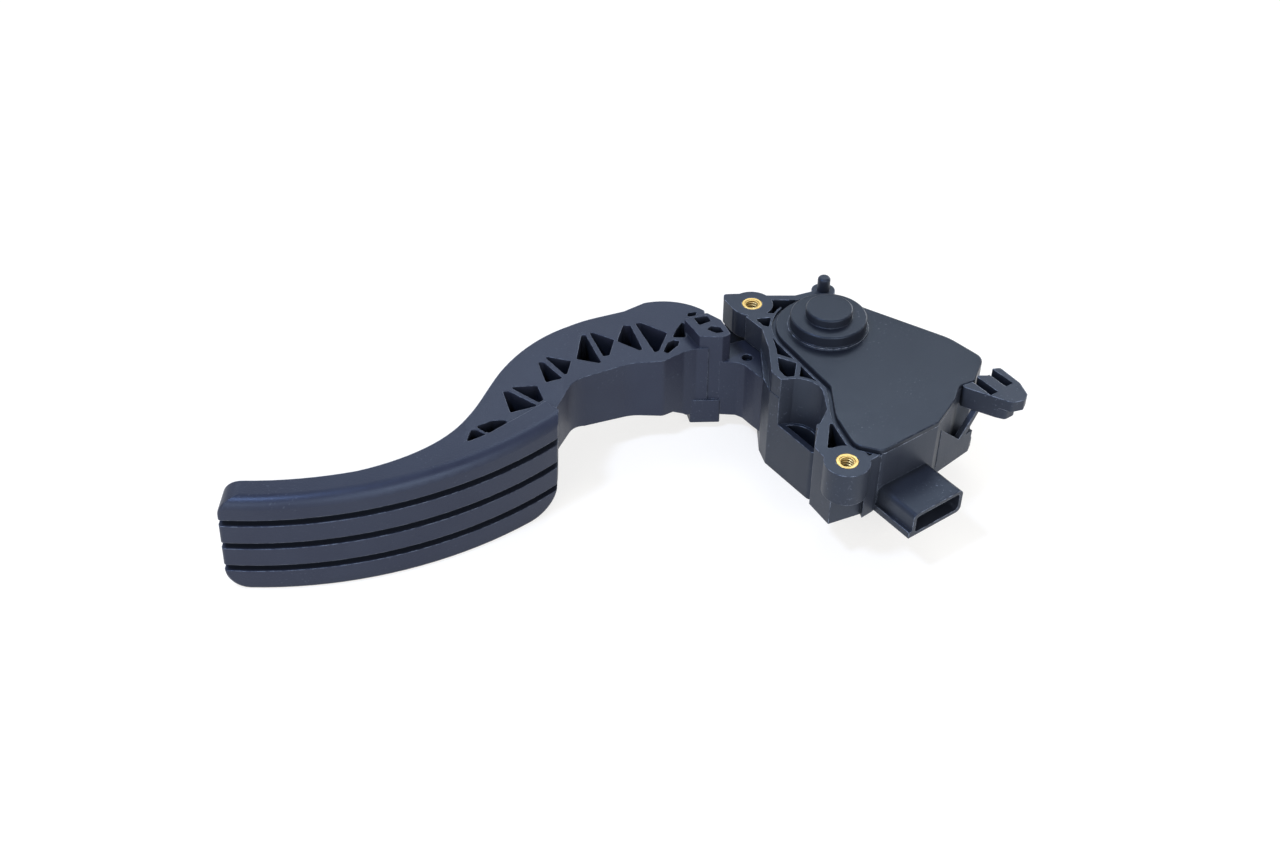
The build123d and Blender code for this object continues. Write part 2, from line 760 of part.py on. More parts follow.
# Friction shoe under the lever
with BuildPart() as friction_shoe:
    with BuildSketch(Plane.XY.offset(chamber_floor + shaft_end_gap)):
        Circle(shoe_radius)
        Circle(shoe_radius - shoe_thickness, mode=Mode.SUBTRACT)
        with Locations((shoe_radius, 0)):
            Rectangle(2 * shoe_thickness + hub_radius, shoe_radius, mode=Mode.INTERSECT)
    extrude(amount=hub_bottom - chamber_floor - shaft_end_gap)

# Beam of the pedal arm, drawn in plan and trimmed to its side view
with BuildPart() as arm_beam:
    with BuildSketch():
        with BuildLine():
            Spline(
                pad_point(5.7, pad_thickness - 0.5), (-176, -82.5), (-153.5, -63), (-145.8, -46.5),
                (-139.3, -27), (-124, -1.6), (-98.3, 16.5),
            )
            Polyline((-98.3, 16.5), (-87.6, 20.7), (-78.6, 27.1))
            ThreePointArc((-78.6, 27.1), (-65.3, 28), (-52, 21.3))
            Polyline((-52, 21.3), (-51, 9), (-51, -6.4))
            FilletPolyline(
                (-51, -6.4), (-56, -6.6), (-61.5, -8.7), (-70.5, -15.4), (-84, -16.6), (-108.5, -28.5),
                pad_point(46.9, 6.8),
                radius=(2, 4, 4, 20, 14),
            )
            ThreePointArc(pad_point(46.9, 6.8), pad_point(26, 5.5), pad_point(5.7, pad_thickness - 0.5))
        make_face()
    extrude(amount=pad_height)
    with BuildSketch(Plane.XZ):
        with BuildLine():
            Polyline(
                (2 * arm_step, arm_bottom_at_pad), (arm_step - 2, arm_bottom_at_pad), (arm_step + 8, 17.5),
                (-66, arm_bottom), (-60, 8.5), (-45, 8.5), (-45, arm_top), (arm_step, arm_top),
                (-150, pad_height), (2 * arm_step, pad_height), (2 * arm_step, arm_bottom_at_pad),
            )
        make_face()
    extrude(amount=pad_radius, both=True, mode=Mode.INTERSECT)

# Pedal arm
with BuildPart() as pedal_arm:
    # foot pad: a curved plate, trimmed to its front view
    with BuildSketch():
        with Locations(pad_centre):
            Circle(pad_radius)
            Circle(pad_radius - pad_thickness, mode=Mode.SUBTRACT)
        with BuildLine():
            Polyline(
                pad_centre, pad_point(pad_sweep, -pad_radius), pad_point(-pad_sweep, -pad_radius), pad_centre
            )
        make_face(mode=Mode.INTERSECT)
    extrude(amount=pad_height)
    pad_right = pad_point(pad_sweep, 0)[0] - pad_right_trim
    with BuildSketch(Plane.XZ):
        with BuildLine():
            FilletPolyline(
                (pad_left - pad_left_lean, 0), (pad_left, pad_height), (pad_right, pad_height),
                (pad_right - pad_right_lean, 0),
                radius=(pad_corner, pad_corner, 0, pad_tip_corner),
                close=True,
            )
        make_face()
    extrude(amount=2 * pad_radius, both=True, mode=Mode.INTERSECT)
    fillet(pedal_arm.faces().filter_by(GeomType.CYLINDER).sort_by(SortBy.AREA)[-1].edges(), pad_edge)
    # broad rounding along the top of its face, and the grooves
    with BuildSketch(Plane((pad_centre[0], pad_centre[1], 0), x_dir=(1, 0, 0), z_dir=(0, -1, 0))):
        with Locations((pad_radius - pad_top_edge, pad_height - pad_top_edge)):
            Rectangle(2 * pad_top_edge, 2 * pad_top_edge, align=(Align.MIN, Align.MIN))
            Circle(pad_top_edge, mode=Mode.SUBTRACT)
    revolve(axis=Axis((pad_centre[0], pad_centre[1], 0), (0, 0, 1)), mode=Mode.SUBTRACT)
    for row in range(3):
        with BuildSketch(Plane.XY.offset(groove_first + row * groove_pitch - groove_width / 2)):
            with Locations(pad_centre):
                Circle(pad_radius + groove_depth)
                Circle(pad_radius - groove_depth, mode=Mode.SUBTRACT)
        extrude(amount=groove_width, mode=Mode.SUBTRACT)
    add(arm_beam.part)
    # pockets in pairs, each pair split by a diagonal rib
    with BuildSketch(Plane.XY.offset(arm_bottom_at_pad + pocket_floor)):
        for corners in arm_pockets:
            with BuildLine():
                FilletPolyline(*corners, radius=pocket_corner, close=True)
            make_face()
    extrude(amount=pad_height, mode=Mode.SUBTRACT)
    # stop block with the tab under it and its two holes
    with BuildSketch(Plane.XY.offset(block_bottom)):
        with BuildLine():
            FilletPolyline(
                (-58.3, -7.3), (-45.1, -6.9), (-45.4, 6), (-51.3, 11.2), (-61.4, 6.8),
                radius=pocket_corner,
                close=True,
            )
        make_face()
    extrude(amount=block_tab - block_bottom)
    with BuildSketch(Plane.XY.offset(hub_bottom)):
        with BuildLine():
            FilletPolyline(
                (-55, -5.6), (-45.1, -6.3), (-41.6, -4.1), (-45.4, 6), (-51.3, 11.2), (-61.4, 6.8),
                radius=pocket_corner,
                close=True,
            )
        make_face()
    extrude(amount=block_top - hub_bottom)
    with BuildSketch(Plane.XY.offset(block_top - block_hole)):
        with BuildLine():
            FilletPolyline(
                (-57.3, 7.8), (-51.4, 9.2), (-49.7, 5.3), (-55, 2.2), radius=pocket_corner, close=True
            )
        make_face()
        with BuildLine():
            FilletPolyline(
                (-51.9, -0.7), (-49.6, 1.7), (-46, 1), (-44.3, -2.8), (-47.9, -3.4),
                radius=pocket_corner,
                close=True,
            )
        make_face()
    extrude(amount=block_hole, mode=Mode.SUBTRACT)
    # root with the drum that closes the mouth, hub and lever
    with BuildSketch(Plane.XY.offset(root_bottom)):
        add(root_plan.sketch)
        Circle(ring_radius + mouth_gap, mode=Mode.SUBTRACT)
    extrude(amount=hub_bottom - root_bottom)
    with BuildSketch(Plane.XY.offset(hub_bottom)):
        add(root_plan.sketch)
        Circle(hub_radius)
        with Locations((0, lever_front)):
            Rectangle(lever_reach, lever_back - lever_front, align=(Align.MIN, Align.MIN))
    extrude(amount=ledge_z - hub_bottom)
    with BuildSketch(Plane.XY.offset(ledge_z - ledge_hole_depth)):
        with Locations(ledge_hole_place):
            Circle(ledge_hole)
    extrude(amount=ledge_hole_depth, mode=Mode.SUBTRACT)
    # bore of the shaft
    with BuildSketch(Plane.XY.offset(hub_bottom)):
        Circle(shaft_radius + press_gap)
    extrude(amount=ledge_z - hub_bottom, mode=Mode.SUBTRACT)

for name, piece in (
    ("housing", housing),
    ("sensor_cover", sensor_cover),
    ("cover_seal", cover_seal),
    ("threaded_inserts", threaded_inserts),
    ("lower_bush", lower_bush),
    ("upper_bush", upper_bush),
    ("pivot_shaft", pivot_shaft),
    ("shaft_clip", shaft_clip),
    ("magnet_rotor", magnet_rotor),
    ("ring_magnet", ring_magnet),
    ("sensor_board", sensor_board),
    ("hall_chips", hall_chips),
    ("terminal_carrier", terminal_carrier),
    ("terminal_pins", terminal_pins),
    ("outer_return_spring", outer_return_spring),
    ("inner_return_spring", inner_return_spring),
    ("spring_seat", spring_seat),
    ("idle_bumper", idle_bumper),
    ("friction_shoe", friction_shoe),
    ("pedal_arm", pedal_arm),
):
    piece.part.label = name
    export_step(piece.part, f"parts/{name}.step")
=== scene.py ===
import logging
import math
from dataclasses import dataclass, field, replace
from enum import Enum
from functools import cache

import bmesh
import bpy
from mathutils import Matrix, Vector


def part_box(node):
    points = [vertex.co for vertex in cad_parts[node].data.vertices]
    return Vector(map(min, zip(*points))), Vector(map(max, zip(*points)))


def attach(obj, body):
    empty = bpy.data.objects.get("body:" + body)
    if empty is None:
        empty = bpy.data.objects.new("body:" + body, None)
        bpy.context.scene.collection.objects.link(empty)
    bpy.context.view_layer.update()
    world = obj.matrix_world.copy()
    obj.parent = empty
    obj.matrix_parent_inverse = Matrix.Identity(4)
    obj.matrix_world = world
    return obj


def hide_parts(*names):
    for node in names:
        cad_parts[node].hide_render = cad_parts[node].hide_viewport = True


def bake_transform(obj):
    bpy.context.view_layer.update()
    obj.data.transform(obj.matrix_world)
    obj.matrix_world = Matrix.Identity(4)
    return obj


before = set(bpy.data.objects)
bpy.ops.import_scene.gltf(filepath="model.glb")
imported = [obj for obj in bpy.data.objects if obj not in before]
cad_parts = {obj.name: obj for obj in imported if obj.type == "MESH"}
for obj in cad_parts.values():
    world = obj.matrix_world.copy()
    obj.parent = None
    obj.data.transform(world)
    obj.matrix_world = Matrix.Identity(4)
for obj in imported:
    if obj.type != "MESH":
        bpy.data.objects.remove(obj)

LOG = logging.getLogger("accelerator_pedal")

Colour = tuple[float, float, float]
Span = tuple[float, float]
Socket = bpy.types.NodeSocket

MM = 0.001
WELD = 0.001 * MM
FULL_TURN = 2 * math.pi
UP = (0.0, 0.0, 1.0)
EVEN: Colour = (1.0, 1.0, 1.0)
WHITE: Colour = (1.0, 1.0, 1.0)
WHOLE: Span = (0.0, 1.0)

# Rays of the nodes that look around a point.
SHADE_SAMPLES = 6
# Cosine between the rounded normal and the face's own, from flat to edge.
EDGE_TURN: Span = (0.995, 0.86)
# The Mix node has sockets for each type of data, so its colours go by number.
MIX_LOW, MIX_HIGH, MIX_RESULT = 6, 7, 2


class Grain(Enum):
    """How fine the moulded grain of a plastic is, as noise cells per metre."""

    POLISHED = 5200.0
    FINE = 3000.0
    PEBBLED = 1800.0


@dataclass(frozen=True)
class Patches:
    """A noise field and the part of its range that is used."""

    scale: float
    detail: float
    source: Span
    target: Span = WHOLE
    stretch: Colour = EVEN


class NodeSheet:
    """One procedural material and the nodes on it, all read from Object coordinates."""

    def __init__(self, name: str) -> None:
        """Starts an empty material.

        Args:
            name: the material's name.
        """
        self.material = bpy.data.materials.new(name)
        self.material.use_nodes = True
        self.tree = self.material.node_tree
        self.tree.nodes.clear()
        self.place = self.tree.nodes.new("ShaderNodeTexCoord").outputs["Object"]
        self.shader = self.tree.nodes.new("ShaderNodeBsdfPrincipled")
        output = self.tree.nodes.new("ShaderNodeOutputMaterial")
        self.link(self.shader.outputs["BSDF"], output.inputs["Surface"])

    def link(self, source: Socket, target: Socket) -> None:
        """Joins one socket to another.

        Args:
            source: the socket that gives the value.
            target: the socket that takes it.
        """
        self.tree.links.new(source, target)

    def set(self, **values: float | Colour) -> None:
        """Sets constants on the shader's own sockets.

        Args:
            values: socket names in lower case with underscores, and their values.
        """
        for key, value in values.items():
            socket = self.shader.inputs[key.replace("_", " ").title().replace("Ior", "IOR")]
            socket.default_value = (*value, 1.0) if isinstance(value, tuple) else value

    def drive(self, **sources: Socket) -> None:
        """Links sockets to the shader's own.

        Args:
            sources: socket names in lower case with underscores, and what feeds them.
        """
        for key, source in sources.items():
            self.link(source, self.shader.inputs[key.replace("_", " ").title()])

    def noise(self, scale: float, detail: float, stretch: Colour = EVEN) -> Socket:
        """Adds a noise field.

        Args:
            scale: cells per metre.
            detail: octaves of the noise.
            stretch: scale of each axis, to draw the noise out along one of them.

        Returns:
            The noise's value, from 0 to 1.
        """
        mapping = self.tree.nodes.new("ShaderNodeMapping")
        mapping.inputs["Scale"].default_value = stretch
        self.link(self.place, mapping.inputs["Vector"])
        node = self.tree.nodes.new("ShaderNodeTexNoise")
        node.inputs["Scale"].default_value = scale
        node.inputs["Detail"].default_value = detail
        self.link(mapping.outputs["Vector"], node.inputs["Vector"])
        return node.outputs["Fac"]

    def remap(self, value: Socket, source: Span, target: Span = WHOLE) -> Socket:
        """Maps a value from one range to another, held at the ends.

        Args:
            value: the socket to read.
            source: the range that is read.
            target: the range that comes out.

        Returns:
            The mapped value.
        """
        node = self.tree.nodes.new("ShaderNodeMapRange")
        node.inputs["From Min"].default_value = source[0]
        node.inputs["From Max"].default_value = source[1]
        node.inputs["To Min"].default_value = target[0]
        node.inputs["To Max"].default_value = target[1]
        self.link(value, node.inputs["Value"])
        return node.outputs["Result"]

    def patches(self, patches: Patches) -> Socket:
        """Adds a noise field and picks the used part of its range.

        Args:
            patches: the field and its ranges.

        Returns:
            The mapped noise.
        """
        noise = self.noise(patches.scale, patches.detail, patches.stretch)
        return self.remap(noise, patches.source, patches.target)

    def math(self, operation: str, first: Socket, second: Socket) -> Socket:
        """Joins two values by a sum, a product or another operation.

        Args:
            operation: the Math node's operation.
            first: the first value.
            second: the second value.

        Returns:
            The result.
        """
        node = self.tree.nodes.new("ShaderNodeMath")
        node.operation = operation
        self.link(first, node.inputs[0])
        self.link(second, node.inputs[1])
        return node.outputs["Value"]

    def tint(self, share: Socket, low: Socket | Colour, high: Colour) -> Socket:
        """Mixes two colours by a share.

        Args:
            share: 0 for the low colour, 1 for the high one.
            low: a colour, or the socket that gives it.
            high: the other colour.

        Returns:
            The mixed colour.
        """
        node = self.tree.nodes.new("ShaderNodeMix")
        node.data_type = "RGBA"
        self.link(share, node.inputs["Factor"])
        if isinstance(low, tuple):
            node.inputs[MIX_LOW].default_value = (*low, 1.0)
        else:
            self.link(low, node.inputs[MIX_LOW])
        node.inputs[MIX_HIGH].default_value = (*high, 1.0)
        return node.outputs[MIX_RESULT]

    def soft_edges(self, radius: float) -> tuple[Socket, Socket]:
        """Rounds sharp edges in the shading, and finds where they are.

        Args:
            radius: radius of the rounded edge, in metres.

        Returns:
            The rounded normal, and a mask that is 1 along edges.
        """
        bevel = self.tree.nodes.new("ShaderNodeBevel")
        bevel.samples = SHADE_SAMPLES
        bevel.inputs["Radius"].default_value = radius
        geometry = self.tree.nodes.new("ShaderNodeNewGeometry")
        dot = self.tree.nodes.new("ShaderNodeVectorMath")
        dot.operation = "DOT_PRODUCT"
        self.link(bevel.outputs["Normal"], dot.inputs[0])
        self.link(geometry.outputs["Normal"], dot.inputs[1])
        return bevel.outputs["Normal"], self.remap(dot.outputs["Value"], EDGE_TURN)

    def openness(self, reach: float, source: Span) -> Socket:
        """Finds how open a place is to the room around it.

        Args:
            reach: how far a wall still counts as near, in metres.
            source: the range of openness that is read.

        Returns:
            The openness, mapped to 0 and 1 at the ends of the range.
        """
        node = self.tree.nodes.new("ShaderNodeAmbientOcclusion")
        node.samples = SHADE_SAMPLES
        node.inputs["Distance"].default_value = reach
        return self.remap(node.outputs["AO"], source)

    def relief(self, height: Socket, depth: float, normal: Socket | None = None) -> Socket:
        """Adds a bump.

        Args:
            height: the height field, from 0 to 1.
            depth: its full height, in metres.
            normal: the normal that it stands on.

        Returns:
            The bumped normal.
        """
        node = self.tree.nodes.new("ShaderNodeBump")
        node.inputs["Distance"].default_value = depth
        self.link(height, node.inputs["Height"])
        if normal is not None:
            self.link(normal, node.inputs["Normal"])
        return node.outputs["Normal"]


# Noise of the moulded plastics: tone, flow lines, breaks in the painted highlights along edges, and
# scuffs in patches.
CLOUD = Patches(38.0, 4.0, (0.35, 0.7))
STREAK = Patches(160.0, 3.0, (0.4, 0.75), (0.0, 0.05), (1.0, 1.0, 0.2))
HIGHLIGHT_BREAKUP = Patches(420.0, 3.0, (0.40, 0.62), (0.08, 1.0))
MARKS = Patches(900.0, 4.0, (0.62, 0.74))
SPREAD = Patches(48.0, 2.0, (0.48, 0.62))
# Dull bloom of the metals.
BLOOM = Patches(600.0, 3.0, (0.45, 0.75), (0.0, 0.8))


@dataclass(frozen=True)
class PlasticFinish:
    """Moulded plastic: grain, cloudy tone, scuffs, slight waviness, painted shade in crevices and
    painted highlights along edges.
    """

    name: str
    colour: Colour
    cloud: Colour
    # Colour of scuffs, and also of the painted highlight along edges.
    scuff_and_edge_highlight: Colour
    roughness: float
    grain: Grain
    grain_detail: float = 2.0
    grain_depth: float = 0.04 * MM
    edge_radius: float = 0.5 * MM
    specular: float = 0.36
    sheen_tint: Colour = (0.60, 0.76, 1.0)
    # Colour of the painted shade in crevices, pockets and grooves.
    painted_crevice_shade: Colour = (0.011, 0.013, 0.018)
    crevice_reach: float = 11.0 * MM
    crevice_open: Span = (0.72, 0.2)
    corner_reach: float = 1.5 * MM
    corner_open: Span = (0.6, 0.9)
    scuff: float = 0.3
    roughness_swing: float = 0.05
    wave_scale: float = 55.0
    wave_depth: float = 0.03 * MM

    @cache
    def material(self) -> bpy.types.Material:
        """Builds the material.

        Returns:
            The finished material.
        """
        sheet = NodeSheet(self.name)
        sheet.set(specular_ior_level=self.specular, specular_tint=self.sheen_tint)
        normal, edges = sheet.soft_edges(self.edge_radius)
        cloud = sheet.patches(CLOUD)
        colour = sheet.tint(cloud, self.colour, self.cloud)
        marks = sheet.patches(replace(MARKS, target=(0.0, self.scuff)))
        scuffs = sheet.math("MULTIPLY", marks, sheet.patches(SPREAD))
        colour = sheet.tint(scuffs, colour, self.scuff_and_edge_highlight)
        # Painted shade: the colour darkens where nearby walls close in, in crevices, pockets and
        # grooves.
        crevice_shade_share = sheet.openness(self.crevice_reach, self.crevice_open)
        colour = sheet.tint(crevice_shade_share, colour, self.painted_crevice_shade)
        # Painted highlight: thin lighter lines along open edges, broken up by noise.
        open_edges = sheet.openness(self.corner_reach, self.corner_open)
        edge_highlight = sheet.math("MULTIPLY", sheet.math("MULTIPLY", edges, sheet.patches(HIGHLIGHT_BREAKUP)), open_edges)
        colour = sheet.tint(edge_highlight, colour, self.scuff_and_edge_highlight)
        swing = (self.roughness - self.roughness_swing, self.roughness + self.roughness_swing)
        rough = sheet.math(
            "SUBTRACT", sheet.remap(cloud, WHOLE, swing), sheet.patches(STREAK))
        wave = sheet.relief(sheet.noise(self.wave_scale, 1.0), self.wave_depth, normal)
        grain = sheet.noise(self.grain.value, self.grain_detail)
        grained = sheet.relief(grain, self.grain_depth, wave)
        sheet.drive(base_color=colour, roughness=rough, normal=grained)
        return sheet.material


@dataclass(frozen=True)
class MetalFinish:
    """Turned, drawn or sintered metal with fine scratches, a dull bloom and painted shade in its
    grooves.
    """

    name: str
    colour: Colour
    bloom: Colour
    roughness: float
    scratch_scale: float
    stretch: Colour = EVEN
    scratch_detail: float = 4.0
    scratch_range: Span = (0.3, 0.7)
    scratch_swing: Span = (-0.08, 0.1)
    scratch_depth: float = 0.015 * MM
    # Colour of the painted shade in grooves and other hollows.
    painted_groove_shade: Colour = (0.05, 0.04, 0.03)
    groove_reach: float = 0.6 * MM
    groove_open: Span = (0.9, 0.5)
    edge_tint: Colour = WHITE

    @cache
    def material(self) -> bpy.types.Material:
        """Builds the material.

        Returns:
            The finished material.
        """
        sheet = NodeSheet(self.name)
        sheet.set(metallic=1.0, specular_tint=self.edge_tint)
        scratch = sheet.noise(self.scratch_scale, self.scratch_detail, self.stretch)
        colour = sheet.tint(sheet.patches(BLOOM), self.colour, self.bloom)
        # Painted shade: the colour darkens in the thread's grooves and other hollows.
        groove_shade_share = sheet.openness(self.groove_reach, self.groove_open)
        colour = sheet.tint(groove_shade_share, colour, self.painted_groove_shade)
        low, high = self.scratch_swing
        rough = sheet.remap(
            scratch, self.scratch_range, (self.roughness + low, self.roughness + high))
        scratched = sheet.relief(scratch, self.scratch_depth)
        sheet.drive(base_color=colour, roughness=rough, normal=scratched)
        return sheet.material


@dataclass(frozen=True)
class BoardFinish:
    """Circuit board: solder mask over a fine weave."""

    name: str
    colour: Colour
    weave: Colour
    weave_scale: float = 900.0
    across: Colour = (1.0, 0.1, 1.0)
    along: Colour = (0.1, 1.0, 1.0)
    weave_range: Span = (0.15, 0.4)
    roughness: Span = (0.3, 0.42)
    weave_depth: float = 0.03 * MM

    @cache
    def material(self) -> bpy.types.Material:
        """Builds the material.

        Returns:
            The finished material.
        """
        sheet = NodeSheet(self.name)
        across = sheet.noise(self.weave_scale, 1.0, self.across)
        along = sheet.noise(self.weave_scale, 1.0, self.along)
        cloth = sheet.math("MULTIPLY", across, along)
        colour = sheet.tint(sheet.remap(cloth, self.weave_range), self.colour, self.weave)
        rough = sheet.remap(cloth, self.weave_range, self.roughness)
        woven = sheet.relief(cloth, self.weave_depth)
        sheet.drive(base_color=colour, roughness=rough, normal=woven)
        return sheet.material


# In each plastic below, the colour for scuffs is also the colour of the painted highlight along
# edges, and the crevice colour is painted shade.
ARM_PLASTIC = PlasticFinish(
    "moulded_arm", colour=(0.018, 0.019, 0.032), cloud=(0.022, 0.024, 0.038),
    scuff_and_edge_highlight=(0.12, 0.135, 0.17), roughness=0.44, grain=Grain.PEBBLED,
    grain_depth=0.06 * MM, edge_radius=0.6 * MM,
)
HOUSING_PLASTIC = PlasticFinish(
    "moulded_housing", colour=(0.019, 0.021, 0.029), cloud=(0.024, 0.027, 0.036),
    scuff_and_edge_highlight=(0.26, 0.29, 0.36), roughness=0.44, grain=Grain.FINE,
)
COVER_PLASTIC = PlasticFinish(
    "moulded_cover", colour=(0.009, 0.010, 0.0145), cloud=(0.012, 0.0135, 0.019),
    scuff_and_edge_highlight=(0.40, 0.43, 0.50), roughness=0.38, grain=Grain.FINE, scuff=0.14,
)
CARRIER_PLASTIC = PlasticFinish(
    "moulded_carrier", colour=(0.016, 0.017, 0.020), cloud=(0.022, 0.023, 0.027),
    scuff_and_edge_highlight=(0.05, 0.05, 0.055), roughness=0.4, grain=Grain.POLISHED,
)
INNER_PLASTIC = PlasticFinish(
    "moulded_inner", colour=(0.50, 0.48, 0.43), cloud=(0.44, 0.42, 0.37),
    scuff_and_edge_highlight=(0.6, 0.58, 0.53), roughness=0.45, grain=Grain.FINE, painted_crevice_shade=(0.22, 0.21, 0.18),
)
SHOE_PLASTIC = PlasticFinish(
    "moulded_shoe", colour=(0.10, 0.09, 0.08), cloud=(0.13, 0.12, 0.10),
    scuff_and_edge_highlight=(0.2, 0.19, 0.17), roughness=0.5, grain=Grain.FINE,
)
SOFT_RUBBER = PlasticFinish(
    "moulded_rubber", colour=(0.014, 0.014, 0.014), cloud=(0.02, 0.02, 0.02),
    scuff_and_edge_highlight=(0.03, 0.03, 0.03), roughness=0.75, grain=Grain.FINE,
)
# The brass's groove colour is the painted shade in the bores' threads.
TURNED_BRASS = MetalFinish(
    "turned_brass", colour=(0.74, 0.54, 0.22), bloom=(0.64, 0.44, 0.15), roughness=0.5,
    scratch_scale=900.0, stretch=(0.3, 0.3, 3.0),
    painted_groove_shade=(0.13, 0.07, 0.01), edge_tint=(0.80, 0.56, 0.16),
)
SINTERED_BRONZE = MetalFinish(
    "sintered_bronze", colour=(0.42, 0.28, 0.13), bloom=(0.32, 0.21, 0.10), roughness=0.5,
    scratch_scale=2600.0,
)
GROUND_STEEL = MetalFinish(
    "ground_steel", colour=(0.52, 0.53, 0.55), bloom=(0.44, 0.45, 0.47), roughness=0.24,
    scratch_scale=2200.0, stretch=(0.2, 0.2, 4.0),
)
DRAWN_STEEL = MetalFinish(
    "drawn_steel", colour=(0.38, 0.38, 0.39), bloom=(0.28, 0.27, 0.26), roughness=0.36,
    scratch_scale=1500.0, stretch=(1.0, 3.0, 1.0),
)
TINNED_CONTACT = MetalFinish(
    "tinned_contact", colour=(0.66, 0.63, 0.55), bloom=(0.56, 0.54, 0.48), roughness=0.3,
    scratch_scale=2500.0,
)
DARK_FERRITE = MetalFinish(
    "dark_ferrite", colour=(0.07, 0.07, 0.075), bloom=(0.05, 0.05, 0.055), roughness=0.55,
    scratch_scale=3000.0,
)
BOARD_MASK = BoardFinish(
    "board_mask", colour=(0.012, 0.10, 0.035), weave=(0.02, 0.15, 0.055),
)

Finish = PlasticFinish | MetalFinish | BoardFinish


def smooth_piece(
    name: str, shape: bmesh.types.BMesh, sharp_angle: float, finish: Finish
) -> bpy.types.Object:
    """Makes a smoothly shaded piece from a shape.

    Args:
        name: name of the piece and of its mesh.
        shape: the shape, which is used up.
        sharp_angle: from how many degrees an edge stays sharp.
        finish: what the piece is made of.

    Returns:
        The piece, linked to the scene.
    """
    mesh = bpy.data.meshes.new(name)
    shape.to_mesh(mesh)
    shape.free()
    mesh.shade_smooth()
    mesh.set_sharp_from_angle(angle=math.radians(sharp_angle))
    mesh.materials.append(finish.material())
    piece = bpy.data.objects.new(name, mesh)
    bpy.context.scene.collection.objects.link(piece)
    return piece


@dataclass
class SubAssembly:
    """CAD nodes that are dressed together, each with its own finish."""

    name: str
    finishes: dict[str, Finish]

    def dress(self) -> None:
        """Gives every node of this group its finish."""
        for node, finish in self.finishes.items():
            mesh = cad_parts[node].data
            mesh.materials.clear()
            mesh.materials.append(finish.material())
            LOG.info("%s: %s in %s", self.name, node, finish.name)


@dataclass
class TappedInserts:
    """The two brass inserts with their tapped bores, in place of the plain rings."""

    outer: float = 4.5 * MM
    crest: float = 2.55 * MM
    root: float = 3.1 * MM
    pitch: float = 1.25 * MM
    crest_end: float = 0.22
    root_span: Span = (0.55, 0.67)
    rim_edge: float = 0.25 * MM
    countersink: float = 0.3 * MM
    mouth: float = 3.3 * MM
    seam: float = 0.06 * MM
    steps: int = 56
    sharp_angle: float = 24.0
    finish: MetalFinish = TURNED_BRASS

    def centres(self) -> list[Vector]:
        """Finds the two axes from the node's box.

        Returns:
            The centre of each insert, at the height of its lower face.
        """
        low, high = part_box("threaded_inserts")
        return [
            Vector((low.x + self.outer, high.y - self.outer, low.z)),
            Vector((high.x - self.outer, low.y + self.outer, low.z)),
        ]

    def lathe(
        self, mesh: bmesh.types.BMesh, profile: list[tuple[float, float]], centre: Vector
    ) -> None:
        """Turns a profile about an insert's axis.

        Args:
            mesh: the mesh that gets the turned faces.
            profile: radius and height of each point, in metres.
            centre: foot of the axis.
        """
        points = [mesh.verts.new(centre + Vector((r, 0.0, z))) for r, z in profile]
        lines = [mesh.edges.new(pair) for pair in zip(points, points[1:])]
        bmesh.ops.spin(
            mesh, geom=points + lines, cent=centre, axis=UP, angle=FULL_TURN,
            steps=self.steps, use_merge=True,
        )

    def thread(self, mesh: bmesh.types.BMesh, centre: Vector, length: float) -> None:
        """Winds the thread of a bore and trims it to the insert's length.

        Args:
            mesh: the mesh that gets the thread.
            centre: foot of the axis.
            length: length of the insert.
        """
        root_start, root_end = self.root_span
        turn = [
            (self.crest, 0.0), (self.crest, self.crest_end),
            (self.root, root_start), (self.root, root_end),
        ]
        # One turn more than the length needs at each end, to be trimmed off.
        count = round(length / self.pitch) + 2
        points = [
            mesh.verts.new(centre + Vector((r, 0.0, (k - 1 + share) * self.pitch)))
            for k in range(count)
            for r, share in turn
        ]
        lines = [mesh.edges.new(pair) for pair in zip(points, points[1:])]
        bmesh.ops.spin(
            mesh, geom=points + lines, cent=centre, axis=UP,
            dvec=(0.0, 0.0, self.pitch / self.steps), angle=FULL_TURN, steps=self.steps,
        )
        bmesh.ops.remove_doubles(mesh, verts=mesh.verts[:], dist=WELD)
        for height, side in ((0.0, -1.0), (length - self.countersink, 1.0)):
            bmesh.ops.bisect_plane(
                mesh, geom=mesh.verts[:] + mesh.edges[:] + mesh.faces[:],
                plane_co=centre + Vector((0.0, 0.0, height)), plane_no=(0.0, 0.0, side),
                clear_outer=True,
            )

    def insert(self, centre: Vector, length: float) -> bmesh.types.BMesh:
        """Makes one insert, closed all round.

        Args:
            centre: foot of the axis.
            length: length of the insert.

        Returns:
            The insert's mesh.
        """
        mesh = bmesh.new()
        self.thread(mesh, centre, length)
        wall = self.root + self.seam
        body = [
            (wall, 0.0), (self.outer, 0.0), (self.outer, length - self.rim_edge),
            (self.outer - self.rim_edge, length), (self.mouth, length),
            (wall, length - self.countersink),
        ]
        self.lathe(mesh, body, centre)
        # The flat seams between the thread's ends and the body.
        for height in (0.0, length - self.countersink):
            level = centre.z + height
            rims = [
                edge for edge in mesh.edges
                if edge.is_boundary
                and all(abs(corner.co.z - level) < self.seam / 2 for corner in edge.verts)
            ]
            bmesh.ops.triangle_fill(mesh, use_beauty=True, edges=rims, normal=UP)
        bmesh.ops.recalc_face_normals(mesh, faces=mesh.faces[:])
        return mesh

    def build(self) -> bpy.types.Object:
        """Makes both inserts as one piece.

        Returns:
            The piece, riding on the base.
        """
        low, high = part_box("threaded_inserts")
        whole = bmesh.new()
        for centre in self.centres():
            single = self.insert(centre, high.z - low.z)
            part = bpy.data.meshes.new("insert")
            single.to_mesh(part)
            single.free()
            whole.from_mesh(part)
            bpy.data.meshes.remove(part)
        piece = smooth_piece("tapped_inserts", whole, self.sharp_angle, self.finish)
        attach(piece, "base")
        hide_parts("threaded_inserts")
        return piece


